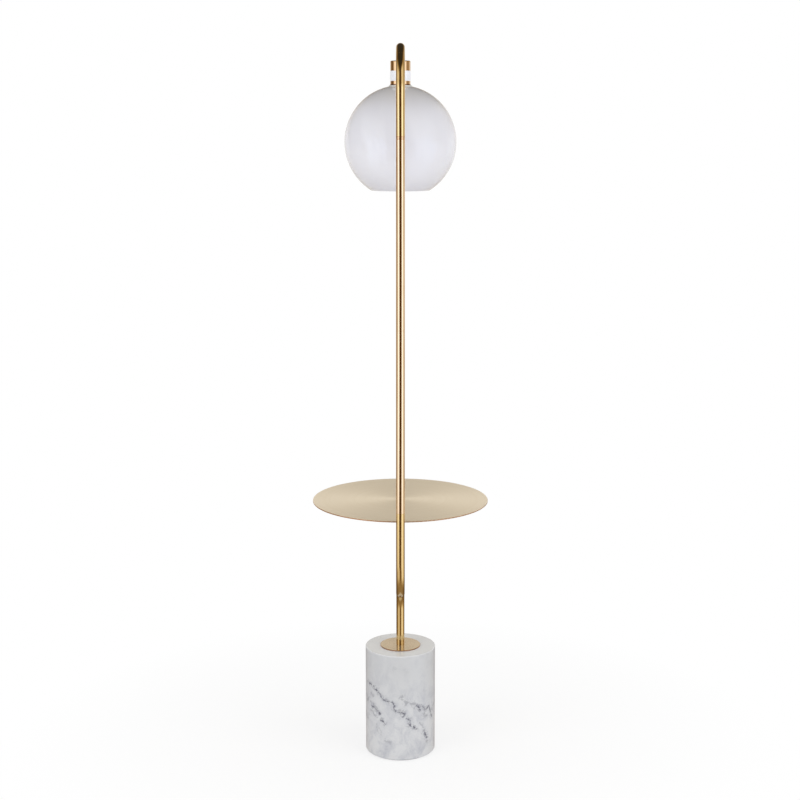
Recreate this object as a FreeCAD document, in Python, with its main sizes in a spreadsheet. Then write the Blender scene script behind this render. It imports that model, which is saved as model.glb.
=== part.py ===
"""Floor lamp with a round side table, in millimetres, +Z up.

The origin is the centre of the foot on the floor. A marble drum carries a short stem. The tube
then steps forward (-Y) in an S bend, rises as the pole in front of the table, and turns back at
the top, so that the opal globe hangs over the foot again. Every piece is an object of its own,
and each size is written once, in the sheet below.
"""
import FreeCAD
import Part
import os
import re
import Sketcher

DOC = FreeCAD.newDocument("floor_lamp")

# ---------------------------------------------------------------------------------------------
# The sheet of sizes
# ---------------------------------------------------------------------------------------------

DRIVING = [
    # the bent tube
    ("overall_height", 1638, "floor to the top of the arm"),
    ("tube_diameter", 19, "outside, the same for every length of tube"),
    ("tube_wall", 1.2, ""),
    ("bend_radius", 85, "centreline radius of all three bends"),
    ("lower_run_height", 427, "centreline of the short level run over the foot"),
    ("seam_rise", 21, "upper end of the lower tube over the table, the first seam"),
    ("collar_height", 7, "ring between the pole and the arm"),
    ("arm_drop", 185.5, "arm's centreline over the collar"),
    ("arm_overhang", 17, "arm end beyond the lamp's axis"),
    ("seam_chamfer", 0.3, "break on each tube end, which shows as a fine line"),
    # the joints inside the tube
    ("plug_length", 20, "threaded plug brazed into a tube end"),
    ("stem_plug_length", 30, "the longer plug at the foot of the stem"),
    ("stud_engagement", 17, "hollow stud inside each plug"),
    ("rod_diameter", 10, "hollow threaded rod, studs and nipple"),
    ("rod_bore", 7, "wire way through them"),
    ("fit_gap", 0.1, "clearance round what is screwed, pressed or brazed in"),
    # the foot
    ("pad_thickness", 2, "foam pad under the marble"),
    ("pad_inset", 5, "pad edge inside the marble edge"),
    ("marble_diameter", 164, ""),
    ("marble_height", 254, ""),
    ("marble_edge", 2, "eased edges of the drum"),
    ("rod_clearance", 2, "round the tie rod in the marble"),
    ("washer_clearance", 6, "round the clamp washer in its recess under the drum"),
    ("recess_depth", 28, ""),
    ("cord_exit_diameter", 12, "hole to the back of the drum"),
    ("cord_exit_height", 16, "its centre over the floor"),
    ("cord_bore", 7, "hole through the grommet"),
    ("grommet_flange", 2, "width of the flange round the hole"),
    ("grommet_flange_seat", 1.5, "depth that the flange sinks into the marble"),
    ("grommet_flange_proud", 1, "and how far it stands out"),
    ("grommet_sleeve", 18, "length of its sleeve in the hole"),
    ("plate_diameter", 94, "metal disc on top of the drum"),
    ("plate_thickness", 2, ""),
    ("plate_bevel", 0.5, ""),
    ("washer_diameter", 60, "clamp washer in the recess"),
    ("washer_thickness", 4, ""),
    ("spring_washer_diameter", 18, ""),
    ("spring_washer_thickness", 2.5, ""),
    ("nut_flats", 17, "hexagon nut on the tie rod"),
    ("nut_height", 8, ""),
    ("rod_tail", 3.5, "tie rod below the nut"),
    ("rod_engagement", 25, "tie rod inside the stem's plug"),
    # the table
    ("table_diameter", 406, "16 in disc"),
    ("table_thickness", 3, ""),
    ("table_height", 611, "top surface over the floor"),
    ("table_edge_round", 1, ""),
    ("table_gap", 0.5, "table edge to the back of the pole"),
    ("flange_diameter", 110, "round flange under the table"),
    ("flange_thickness", 4, ""),
    ("bar_inset", 1.5, "each side of the cantilever bar inside the tube's width"),
    ("bar_root_depth", 15, ""),
    ("bar_tip_depth", 6, ""),
    ("stud_margin", 13, "weld studs inside the flange's edge"),
    ("stud_diameter", 5, ""),
    ("small_washer_diameter", 10, ""),
    ("small_washer_thickness", 1, ""),
    ("small_nut_flats", 8, ""),
    ("small_nut_height", 4, ""),
    ("stud_tail", 1, "stud below its nut"),
    # the cup that hangs under the arm
    ("boss_diameter", 16, "turned boss brazed under the arm"),
    ("boss_height", 12, "gap that it keeps between arm and cup"),
    ("boss_wrap", 2.5, "its sides over the arm's underside"),
    ("thread_tail", 2, "nipple past each thing it screws through"),
    ("cup_clearance", 1.55, "round the lampholder in the cup"),
    ("cup_height", 53.5, ""),
    ("cup_wall", 1.2, ""),
    ("cup_shoulder", 2.5, "rounding of its upper edge"),
    ("cup_lip", 1.2, "rolled lip that stands out at its mouth"),
    ("cup_lip_height", 2, ""),
    ("band_height", 22, "plain white band round the cup"),
    ("band_rise", 9.5, "band over the mouth of the cup"),
    ("band_thickness", 0.3, ""),
    ("locknut_flats", 17, ""),
    ("locknut_height", 4, ""),
    # the globe and its seals
    ("globe_diameter", 250, "opal globe"),
    ("glass_wall", 3, ""),
    ("neck_clearance", 1.25, "round the lampholder in the globe's upper hole"),
    ("mouth_diameter", 132, "open bottom of the globe"),
    ("gasket_thickness", 1.5, ""),
    ("gasket_clearance", 0.75, "round the lampholder"),
    ("gasket_width", 5.5, ""),
    ("seal_gap", 0.05, "between a seal and the curved glass"),
    # the lampholder
    ("holder_diameter", 39.5, "threaded skirt that the ring screws on"),
    ("holder_reach", 24.5, "skirt below the mouth of the cup"),
    ("holder_wall", 2, "wall of the wiring chamber"),
    ("holder_floor", 4, "floor between the screw shell and the chamber"),
    ("holder_cap_height", 19, "domed cap with the threaded entry"),
    ("entry_diameter", 16, ""),
    ("entry_height", 6, ""),
    ("holder_shoulder", 6, "rise of the cap's cone"),
    ("shell_depth", 30, "floor over the lampholder's lower rim"),
    ("shell_wall", 0.4, ""),
    ("shell_inset", 4, "screw shell above the lower rim"),
    ("shell_flange", 5, "its inward flange against the floor"),
    ("contact_height", 1.2, "centre contact under the floor"),
    ("terminal_diameter", 6, "heads of the two wiring screws"),
    ("terminal_height", 3, ""),
    ("terminal_spread", 22, "between them"),
    ("ring_margin", 2, "clamping ring outside the gasket"),
    ("ring_flange", 3, ""),
    ("ring_skirt", 5, ""),
    ("ring_wall", 3.6, ""),
    ("ring_grips", 12, "notches round its skirt"),
    ("grip_diameter", 4, ""),
    ("grip_depth", 1, ""),
    # the bulb
    ("bulb_cap_diameter", 26, "one-inch screw cap"),
    ("bulb_cap_length", 25, ""),
    ("bulb_clearance", 0.3, "cap in the screw shell, and tip to contact"),
    ("bulb_cap_bevel", 1, ""),
    ("bulb_tip_height", 4.5, "insulator and contact over the shell"),
    ("bulb_tip_diameter", 8.7, ""),
    ("bulb_diameter", 60, ""),
    ("bulb_length", 109.5, "tip to the end of the dome"),
    ("bulb_dome_wall", 1.5, ""),
    ("bulb_split", 14, "edge of the dome above its centre"),
    ("bulb_neck_curve", 55, "radius of the body's waisted side"),
]

DERIVED = [
    ("tube_radius", "tube_diameter / 2"),
    ("tube_bore_radius", "tube_diameter / 2 - tube_wall"),
    ("plug_radius", "tube_bore_radius - fit_gap"),
    ("thread_radius", "rod_diameter / 2 + fit_gap"),
    ("pole_offset", "table_diameter / 2 + tube_radius + table_gap"),
    ("arm_height", "overall_height - tube_radius"),
    ("arm_start", "arm_height - arm_drop"),
    ("pole_top", "arm_start - collar_height"),
    ("lower_tube_height", "table_height + seam_rise"),
    ("pole_seam", "(lower_tube_height + pole_top) / 2"),
    ("marble_radius", "marble_diameter / 2"),
    ("marble_top", "pad_thickness + marble_height"),
    ("grommet_radius", "cord_exit_diameter / 2 + grommet_flange"),
    ("stem_start", "marble_top + plate_thickness"),
    ("recess_top", "pad_thickness + recess_depth"),
    ("washer_under", "recess_top - washer_thickness"),
    ("spring_washer_under", "washer_under - spring_washer_thickness"),
    ("nut_under", "spring_washer_under - nut_height"),
    ("rod_under", "nut_under - rod_tail"),
    ("rod_top", "stem_start + rod_engagement"),
    ("table_under", "table_height - table_thickness"),
    ("bar_width", "tube_diameter - bar_inset * 2"),
    ("stud_circle", "flange_diameter - stud_margin * 2"),
    ("flange_under", "table_under - flange_thickness"),
    ("holder_radius", "holder_diameter / 2"),
    ("cup_radius", "holder_radius + cup_clearance + cup_wall"),
    ("cup_top", "arm_height - tube_radius - boss_height"),
    ("cup_mouth", "cup_top - cup_height"),
    ("locknut_under", "cup_top - cup_wall - locknut_height"),
    ("holder_cap_under", "locknut_under - holder_cap_height"),
    ("holder_under", "cup_mouth - holder_reach"),
    ("nipple_under", "locknut_under - entry_height - holder_wall - thread_tail"),
    ("nipple_top", "arm_height - tube_bore_radius + thread_tail"),
    ("globe_radius", "globe_diameter / 2"),
    ("glass_inner_radius", "globe_radius - glass_wall"),
    ("globe_centre", "cup_mouth - gasket_thickness - sqrt(globe_radius ^ 2 - cup_radius ^ 2)"),
    ("neck_radius", "holder_radius + neck_clearance"),
    ("gasket_bore_radius", "holder_radius + gasket_clearance"),
    ("gasket_radius", "gasket_bore_radius + gasket_width"),
    ("seal_radius", "(gasket_bore_radius + gasket_radius) / 2"),
    ("ring_top", "globe_centre + sqrt(glass_inner_radius ^ 2 - seal_radius ^ 2) - gasket_thickness"),
    ("ring_skirt_radius", "holder_radius + fit_gap + ring_wall"),
    ("shell_radius", "bulb_cap_diameter / 2 + bulb_clearance"),
    ("shell_outer_radius", "shell_radius + shell_wall"),
    ("contact_under", "holder_under + shell_depth - contact_height"),
    ("bulb_tip", "contact_under - bulb_clearance"),
    ("bulb_radius", "bulb_diameter / 2"),
    ("bulb_centre", "bulb_tip - bulb_length + bulb_radius"),
    ("bulb_cap_under", "bulb_tip - bulb_tip_height - bulb_cap_length"),
]

SHEET = DOC.addObject("Spreadsheet::Sheet", "Sizes")
for row, (alias, size, note) in enumerate(DRIVING, start=1):
    SHEET.set(f"A{row}", alias)
    SHEET.set(f"B{row}", str(size))
    SHEET.set(f"C{row}", note)
    SHEET.setAlias(f"B{row}", alias)
for row, (alias, formula) in enumerate(DERIVED, start=len(DRIVING) + 2):
    SHEET.set(f"A{row}", alias)
    SHEET.set(f"B{row}", "=" + formula)
    SHEET.setAlias(f"B{row}", alias)
DOC.recompute()

ALIASES = {entry[0] for entry in DRIVING + DERIVED}
NODES = []


def sized(text):
    """The expression with each size's name pointed at the sheet."""
    return re.sub(r"[a-z_]+", lambda word: f"Sizes.{word[0]}" if word[0] in ALIASES else word[0], text)


def number(text):
    """What an expression of the sheet's sizes comes to."""
    return float(SHEET.evalExpression(sized(text)))


def bind(target, **expressions):
    """Binds properties of an object to expressions of the sheet's sizes."""
    for name, text in expressions.items():
        target.setExpression(name, sized(text))


def place(piece, along_y="0", up="0", turn=None):
    """Puts an object at a height and a distance in Y, both bound to the sheet."""
    if turn:
        piece.Placement.Rotation = turn
    piece.setExpression("Placement.Base.y", sized(along_y))
    piece.setExpression("Placement.Base.z", sized(up))
    return piece


def keep(piece, label):
    """Names a finished piece as a node of the lamp."""
    piece.Label = label
    NODES.append(piece)
    return piece


LEVEL_BACK = FreeCAD.Rotation(FreeCAD.Vector(1, 0, 0), -90)   # turns a piece's own Z to +Y
CROWN_SLOPE = 1.6                                             # how steeply a nut's corners are turned off

# ---------------------------------------------------------------------------------------------
# Sketches and features
# ---------------------------------------------------------------------------------------------


def sketch_on(body, role, name, offset="0"):
    """A sketch on one of the body's own origin planes, moved along the plane's normal."""
    sketch = body.newObject("Sketcher::SketchObject", name)
    plane = [item for item in body.Origin.OriginFeatures if item.Role == role][0]
    sketch.AttachmentSupport = [(plane, "")]
    sketch.MapMode = "FlatFace"
    sketch.setExpression("AttachmentOffset.Base.z", sized(offset))
    return sketch


def pin_point(sketch, edge, end, across, up):
    """Ties one end of an edge to its place."""
    for kind, axis, text in (("DistanceX", -2, across), ("DistanceY", -1, up)):
        if text == "0":
            sketch.addConstraint(Sketcher.Constraint("PointOnObject", edge, end, axis))
        else:
            index = sketch.addConstraint(Sketcher.Constraint(kind, edge, end, number(text)))
            sketch.setExpression(f"Constraints[{index}]", sized(text))


def outline(sketch, corners, closed=True):
    """Draws lines and arcs through corners of (across, up) or (across, up, radius).

    A radius makes the edge that leaves the corner an arc of less than half a circle. Its radius
    is written with "left" or "right" in front, for the way the edge turns.
    """
    points = [FreeCAD.Vector(number(corner[0]), number(corner[1]), 0) for corner in corners]
    edges = []
    count = len(corners) if closed else len(corners) - 1
    for index in range(count):
        here = points[index]
        there = points[(index + 1) % len(points)]
        if len(corners[index]) == 2:
            edge = sketch.addGeometry(Part.LineSegment(here, there))
            edges.append((edge, 1, 2))
            continue
        turn, text = corners[index][2].split(" ", 1)
        radius = number(text)
        chord = there - here
        side = FreeCAD.Vector(-chord.y, chord.x, 0).normalize()
        rise = max(radius ** 2 - (chord.Length / 2) ** 2, 0) ** 0.5
        centre = here + chord * 0.5 + side * (rise if turn == "left" else -rise)
        circle = Part.Circle(centre, FreeCAD.Vector(0, 0, 1), radius)
        first, last = (here, there) if turn == "left" else (there, here)
        arc = Part.ArcOfCircle(circle, circle.parameter(first), circle.parameter(last))
        edge = sketch.addGeometry(arc)
        edges.append((edge, 1, 2) if turn == "left" else (edge, 2, 1))
        tie = sketch.addConstraint(Sketcher.Constraint("Radius", edge, radius))
        sketch.setExpression(f"Constraints[{tie}]", sized(text))
    for index, (edge, start, end) in enumerate(edges):
        pin_point(sketch, edge, start, corners[index][0], corners[index][1])
        if closed or index + 1 < len(edges):
            after, after_start, _ = edges[(index + 1) % len(edges)]
            sketch.addConstraint(Sketcher.Constraint("Coincident", edge, end, after, after_start))
    if not closed:
        edge, _, end = edges[-1]
        pin_point(sketch, edge, end, corners[-1][0], corners[-1][1])
    return sketch


def circle_in(sketch, radius, across="0", up="0"):
    """Adds a circle whose centre and radius are bound to the sheet."""
    centre = FreeCAD.Vector(number(across), number(up), 0)
    circle = Part.Circle(centre, FreeCAD.Vector(0, 0, 1), number(radius))
    edge = sketch.addGeometry(circle)
    if across == "0" and up == "0":
        sketch.addConstraint(Sketcher.Constraint("Coincident", edge, 3, -1, 1))
    else:
        pin_point(sketch, edge, 3, across, up)
    tie = sketch.addConstraint(Sketcher.Constraint("Radius", edge, number(radius)))
    sketch.setExpression(f"Constraints[{tie}]", sized(radius))
    return sketch


def new_body(label):
    """An empty body that is kept as a node."""
    return keep(DOC.addObject("PartDesign::Body", label), label)


def turned(label, corners):
    """A piece turned about its own Z from a half profile of (radius, height) corners."""
    body = new_body(label)
    profile = outline(sketch_on(body, "XZ_Plane", label + "_profile"), corners)
    turn = body.newObject("PartDesign::Revolution", label + "_turned")
    turn.Profile = profile
    turn.ReferenceAxis = (profile, ["V_Axis"])
    turn.Angle = 360
    profile.Visibility = False
    return body


def pocket(body, profile, name, both_ways=False):
    """Cuts a profile through all, against its plane's normal, and checks that it cut."""
    DOC.recompute()
    before = body.Shape.Volume
    cut = body.newObject("PartDesign::Pocket", name)
    cut.Profile = profile
    cut.Type = "ThroughAll"
    cut.Midplane = both_ways
    DOC.recompute()
    if cut.Shape.isNull() or cut.Shape.Volume > before - 0.01:
        raise RuntimeError(f"{name} cuts nothing")
    return cut


def pattern(body, feature, name, count, role="Z_Axis"):
    """Repeats a feature round one of the body's own axes."""
    repeat = body.newObject("PartDesign::PolarPattern", name)
    repeat.Originals = [feature]
    axis = [item for item in body.Origin.OriginFeatures if item.Role == role][0]
    repeat.Axis = (axis, [""])
    repeat.Angle = 360
    repeat.setExpression("Occurrences", sized(count))
    body.Tip = repeat
    return repeat


def tube_profile(body, name, offset):
    """The tube's outer circle and, apart, its bore, both on a level plane."""
    outer = circle_in(sketch_on(body, "XY_Plane", name + "_outside", offset), "tube_radius")
    inner = circle_in(sketch_on(body, "XY_Plane", name + "_inside", offset), "tube_bore_radius")
    return outer, inner


def bent_tube(label, route, offset):
    """A tube swept along lines and tangent arcs drawn in the YZ plane, then bored."""
    body = new_body(label)
    path = outline(sketch_on(body, "YZ_Plane", label + "_route"), route, closed=False)
    outer, inner = tube_profile(body, label, offset)
    for kind, profile, name in (("AdditivePipe", outer, "_tube"), ("SubtractivePipe", inner, "_bore")):
        pipe = body.newObject("PartDesign::" + kind, label + name)
        pipe.Profile = profile
        pipe.Spine = path
        pipe.Transition = "Transformed"
        DOC.recompute()
    return body


def ring_edges(shape, radius, centre, axis):
    """The names of the whole circles of one radius round one centre."""
    names = []
    for index, edge in enumerate(shape.Edges, start=1):
        curve = edge.Curve
        if not isinstance(curve, Part.Circle) or abs(curve.Radius - radius) > 1e-4:
            continue
        if (curve.Center - centre).Length < 1e-3 and abs(curve.Axis.dot(axis)) > 0.999:
            names.append(f"Edge{index}")
    return names


def break_ends(body, name, ends, radius="tube_radius"):
    """Chamfers the outer edge of tube ends; each end is its centre and its axis."""
    base = body.Tip
    names = []
    for centre, axis in ends:
        names += ring_edges(base.Shape, number(radius), centre, axis)
    if len(names) != len(ends):
        raise RuntimeError(f"{name} finds {len(names)} of {len(ends)} edges")
    chamfer = body.newObject("PartDesign::Chamfer", name)
    chamfer.Base = (base, names)
    bind(chamfer, Size="seam_chamfer")
    return chamfer


def hollow_rod(label, under, top):
    """A length of hollow threaded rod on its own Z, its threads left plain."""
    return turned(label, [("rod_bore / 2", under), ("rod_diameter / 2", under),
                          ("rod_diameter / 2", top), ("rod_bore / 2", top)])


def washer(label, radius, bore, under, top):
    """A flat ring."""
    return turned(label, [(bore, under), (radius, under), (radius, top), (bore, top)])


def hexagon(label, flats, bore, under, height):
    """A hexagon nut with its corners turned off, bored to clear its thread."""
    prism = DOC.addObject("Part::Prism", label + "_prism")
    prism.Polygon = 6
    bind(prism, Circumradius=f"{flats} / sqrt(3)", Height=height)
    crown = DOC.addObject("Part::Cone", label + "_crown")
    bind(crown, Radius1=f"{flats} / 2 + {height} * {CROWN_SLOPE}", Radius2=f"{flats} / 2", Height=height)
    drum = DOC.addObject("Part::Common", label + "_blank")
    drum.Base = prism
    drum.Tool = crown
    hole = DOC.addObject("Part::Cylinder", label + "_hole")
    bind(hole, Radius=bore, Height=f"{height} + 2")
    hole.Placement.Base.z = -1
    nut = DOC.addObject("Part::Cut", label)
    nut.Base = drum
    nut.Tool = hole
    return place(nut, up=under)


# ---------------------------------------------------------------------------------------------
# The foot: pad, marble drum, plate and what clamps them
# ---------------------------------------------------------------------------------------------

turned("floor_pad", [
    ("0", "0"),
    ("marble_radius - pad_inset", "0"),
    ("marble_radius - pad_inset", "pad_thickness"),
    ("0", "pad_thickness"),
])

marble = turned("marble_base", [
    ("washer_diameter / 2 + washer_clearance", "0"),
    ("marble_radius - marble_edge", "0", "left marble_edge"),
    ("marble_radius", "marble_edge"),
    ("marble_radius", "marble_height - marble_edge", "left marble_edge"),
    ("marble_radius - marble_edge", "marble_height"),
    ("rod_diameter / 2 + rod_clearance", "marble_height"),
    ("rod_diameter / 2 + rod_clearance", "recess_depth"),
    ("washer_diameter / 2 + washer_clearance", "recess_depth"),
])
cord_way = sketch_on(marble, "XZ_Plane", "cord_way")
circle_in(cord_way, "cord_exit_diameter / 2", up="cord_exit_height - pad_thickness")
pocket(marble, cord_way, "cord_exit")
flange_seat = sketch_on(marble, "XZ_Plane", "flange_seat", "grommet_flange_seat - marble_radius")
circle_in(flange_seat, "grommet_radius + fit_gap", up="cord_exit_height - pad_thickness")
pocket(marble, flange_seat, "grommet_seat")
place(marble, up="pad_thickness")

grommet = turned("cord_grommet", [
    ("cord_bore / 2", "-grommet_sleeve"),
    ("cord_exit_diameter / 2 - fit_gap", "-grommet_sleeve"),
    ("cord_exit_diameter / 2 - fit_gap", "0"),
    ("grommet_radius", "0"),
    ("grommet_radius", "grommet_flange_seat"),
    ("grommet_radius - grommet_flange_proud", "grommet_flange_seat + grommet_flange_proud"),
    ("cord_bore / 2", "grommet_flange_seat + grommet_flange_proud"),
])
place(grommet, "marble_radius - grommet_flange_seat", "cord_exit_height", LEVEL_BACK)

washer("clamp_washer", "washer_diameter / 2", "thread_radius", "washer_under", "recess_top")
washer("spring_washer", "spring_washer_diameter / 2", "thread_radius",
       "spring_washer_under", "washer_under")
keep(hexagon("base_nut", "nut_flats", "thread_radius", "nut_under", "nut_height"), "base_nut")
hollow_rod("tie_rod", "rod_under", "rod_top")

turned("base_plate", [
    ("thread_radius", "marble_top"),
    ("plate_diameter / 2", "marble_top"),
    ("plate_diameter / 2", "stem_start - plate_bevel"),
    ("plate_diameter / 2 - plate_bevel", "stem_start"),
    ("thread_radius", "stem_start"),
])

# ---------------------------------------------------------------------------------------------
# The tube: lower tube with its S bend, two straight lengths, collar and arm
# ---------------------------------------------------------------------------------------------

# The lower tube rises on the lamp's axis, steps forward by pole_offset and rises again.
lower_tube = bent_tube("lower_tube", [
    ("0", "stem_start"),
    ("0", "lower_run_height - bend_radius", "left bend_radius"),
    ("-bend_radius", "lower_run_height"),
    ("bend_radius - pole_offset", "lower_run_height", "right bend_radius"),
    ("-pole_offset", "lower_run_height + bend_radius"),
    ("-pole_offset", "lower_tube_height"),
], "stem_start")
UP = FreeCAD.Vector(0, 0, 1)
BACK = FreeCAD.Vector(0, 1, 0)
pole_line = -number("pole_offset")
break_ends(lower_tube, "lower_tube_seam", [
    (FreeCAD.Vector(0, pole_line, number("lower_tube_height")), UP),
])

for label, under, top in (("lower_pole", "lower_tube_height", "pole_seam"),
                          ("upper_pole", "pole_seam", "pole_top")):
    length = turned(label, [
        ("tube_bore_radius", under),
        ("tube_radius - seam_chamfer", under),
        ("tube_radius", under + " + seam_chamfer"),
        ("tube_radius", top + " - seam_chamfer"),
        ("tube_radius - seam_chamfer", top),
        ("tube_bore_radius", top),
    ])
    place(length, "-pole_offset")

collar = turned("collar_ring", [
    ("thread_radius", "pole_top"),
    ("tube_radius - seam_chamfer", "pole_top"),
    ("tube_radius", "pole_top + seam_chamfer"),
    ("tube_radius", "arm_start - seam_chamfer"),
    ("tube_radius - seam_chamfer", "arm_start"),
    ("thread_radius", "arm_start"),
])
place(collar, "-pole_offset")

# The arm rises from the collar, turns back over the foot and ends just past the axis. Its route
# is drawn from the lamp's axis, and its profile sits on the pole's line, so the body is placed there.
top_arm = bent_tube("top_arm", [
    ("0", "arm_start"),
    ("0", "arm_height - bend_radius", "right bend_radius"),
    ("bend_radius", "arm_height"),
    ("pole_offset + arm_overhang", "arm_height"),
], "arm_start")
nipple_hole = sketch_on(top_arm, "XY_Plane", "nipple_hole", "arm_height")
circle_in(nipple_hole, "thread_radius + fit_gap", up="pole_offset")
pocket(top_arm, nipple_hole, "wire_entry")
break_ends(top_arm, "top_arm_seam", [
    (FreeCAD.Vector(0, 0, number("arm_start")), UP),
    (FreeCAD.Vector(0, number("pole_offset + arm_overhang"), number("arm_height")), BACK),
])
place(top_arm, "-pole_offset")

end_cap = turned("arm_end_cap", [
    ("0", "-plug_length / 2"),
    ("plug_radius", "-plug_length / 2"),
    ("plug_radius", "0"),
    ("tube_radius - seam_chamfer", "0"),
    ("tube_radius", "seam_chamfer", "left tube_radius * 2"),
    ("0", "seam_chamfer + tube_radius * (2 - sqrt(3))"),
])
place(end_cap, "arm_overhang", "arm_height", LEVEL_BACK)


def plug(label, length, along_y, under):
    """A threaded plug brazed into a tube end, with a small chamfer at both mouths."""
    piece = turned(label, [
        ("thread_radius", "0"),
        ("plug_radius", "0"),
        ("plug_radius", length),
        ("thread_radius + seam_chamfer * 2", length),
        ("thread_radius", length + " - seam_chamfer * 2"),
    ])
    return place(piece, along_y, under)


plug("stem_plug", "stem_plug_length", "0", "stem_start")
SEAMS = (("lower_seam", "lower_tube_height", "lower_tube_height"),
         ("middle_seam", "pole_seam", "pole_seam"),
         ("collar_seam", "pole_top", "arm_start"))
for label, under, over in SEAMS:
    plug(label + "_lower_plug", "plug_length", "-pole_offset", under + " - plug_length")
    plug(label + "_upper_plug", "plug_length", "-pole_offset", over)
    stud = hollow_rod(label + "_stud", under + " - stud_engagement", over + " + stud_engagement")
    place(stud, "-pole_offset")

# ---------------------------------------------------------------------------------------------
# The table and its cantilever
# ---------------------------------------------------------------------------------------------

turned("table_top", [
    ("0", "table_under"),
    ("table_diameter / 2 - table_edge_round", "table_under", "left table_edge_round"),
    ("table_diameter / 2", "table_under + table_edge_round"),
    ("table_diameter / 2", "table_height - table_edge_round", "left table_edge_round"),
    ("table_diameter / 2 - table_edge_round", "table_height"),
    ("0", "table_height"),
])

flange = turned("table_flange", [
    ("0", "flange_under"),
    ("flange_diameter / 2", "flange_under"),
    ("flange_diameter / 2", "table_under"),
    ("0", "table_under"),
])
stud_hole = sketch_on(flange, "XY_Plane", "stud_hole", "table_height")
circle_in(stud_hole, "stud_diameter / 2 + fit_gap * 2", "stud_circle / sqrt(8)", "stud_circle / sqrt(8)")
pattern(flange, pocket(flange, stud_hole, "first_hole"), "four_holes", "4")

bar = new_body("table_bar")
bar_side = outline(sketch_on(bar, "YZ_Plane", "bar_side"), [
    ("-pole_offset", "flange_under - bar_root_depth"),
    ("0", "flange_under - bar_tip_depth"),
    ("flange_diameter / 2 - bar_tip_depth", "flange_under - bar_tip_depth", "left bar_tip_depth"),
    ("flange_diameter / 2", "flange_under"),
    ("-pole_offset", "flange_under"),
])
bar_pad = bar.newObject("PartDesign::Pad", "bar_pad")
bar_pad.Profile = bar_side
bar_pad.Midplane = True
bind(bar_pad, Length="bar_width")
saddle = sketch_on(bar, "XY_Plane", "pole_saddle")
circle_in(saddle, "tube_radius + fit_gap", up="-pole_offset")
pocket(bar, saddle, "saddle_cut", both_ways=True)


def four_of(label, make):
    """Four alike small pieces on the table's stud circle, as one node."""
    pieces = []
    for corner, (side, rear) in enumerate(((1, 1), (-1, 1), (-1, -1), (1, -1)), start=1):
        piece = make(f"{label}_{corner}")
        piece.setExpression("Placement.Base.x", sized(f"{side} * stud_circle / sqrt(8)"))
        piece.setExpression("Placement.Base.y", sized(f"{rear} * stud_circle / sqrt(8)"))
        pieces.append(piece)
    group = DOC.addObject("Part::Compound", label)
    group.Links = pieces
    return keep(group, label)


def weld_stud(name):
    """A plain stud that hangs from the table's underside."""
    stud = DOC.addObject("Part::Cylinder", name)
    drop = "flange_thickness + small_washer_thickness + small_nut_height + stud_tail"
    bind(stud, Radius="stud_diameter / 2", Height=drop)
    return place(stud, up="table_under - (" + drop + ")")


def stud_washer(name):
    """A small flat washer under the flange."""
    disc = DOC.addObject("Part::Cylinder", name + "_disc")
    bind(disc, Radius="small_washer_diameter / 2", Height="small_washer_thickness")
    hole = DOC.addObject("Part::Cylinder", name + "_hole")
    bind(hole, Radius="stud_diameter / 2 + fit_gap * 2", Height="small_washer_thickness")
    ring = DOC.addObject("Part::Cut", name)
    ring.Base = disc
    ring.Tool = hole
    return place(ring, up="flange_under - small_washer_thickness")


def stud_nut(name):
    """A small hexagon nut under the washer."""
    under = "flange_under - small_washer_thickness - small_nut_height"
    return hexagon(name, "small_nut_flats", "stud_diameter / 2 + fit_gap", under, "small_nut_height")


four_of("table_studs", weld_stud)
four_of("table_washers", stud_washer)
four_of("table_nuts", stud_nut)

# ---------------------------------------------------------------------------------------------
# What hangs under the arm: boss, nipple, cup and its band
# ---------------------------------------------------------------------------------------------

boss = turned("arm_boss", [
    ("thread_radius", "cup_top"),
    ("boss_diameter / 2", "cup_top"),
    ("boss_diameter / 2", "cup_top + boss_height + boss_wrap"),
    ("thread_radius", "cup_top + boss_height + boss_wrap"),
])
boss_saddle = sketch_on(boss, "XZ_Plane", "boss_saddle")
circle_in(boss_saddle, "tube_radius + seal_gap", up="arm_height")
pocket(boss, boss_saddle, "boss_saddle_cut", both_ways=True)

hollow_rod("hang_nipple", "nipple_under", "nipple_top")
locknut = hexagon("cup_locknut", "locknut_flats", "thread_radius", "locknut_under", "locknut_height")
keep(locknut, "cup_locknut")

turned("socket_cup", [
    ("cup_radius - cup_wall", "cup_mouth"),
    ("cup_radius + cup_lip", "cup_mouth"),
    ("cup_radius + cup_lip", "cup_mouth + cup_lip_height / 2"),
    ("cup_radius", "cup_mouth + cup_lip_height"),
    ("cup_radius", "cup_top - cup_shoulder", "left cup_shoulder"),
    ("cup_radius - cup_shoulder", "cup_top"),
    ("thread_radius", "cup_top"),
    ("thread_radius", "cup_top - cup_wall"),
    ("cup_radius - cup_shoulder", "cup_top - cup_wall", "right cup_shoulder - cup_wall"),
    ("cup_radius - cup_wall", "cup_top - cup_shoulder"),
])

washer("cup_band", "cup_radius + seal_gap + band_thickness", "cup_radius + seal_gap",
       "cup_mouth + band_rise", "cup_mouth + band_rise + band_height")

# ---------------------------------------------------------------------------------------------
# The globe, its seals and the ring that clamps it
# ---------------------------------------------------------------------------------------------


def on_globe(radius, across, sign="+"):
    """Height of a point on a sphere round the globe's centre, at a distance from the axis."""
    return f"globe_centre {sign} sqrt(({radius}) ^ 2 - ({across}) ^ 2)"


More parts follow.
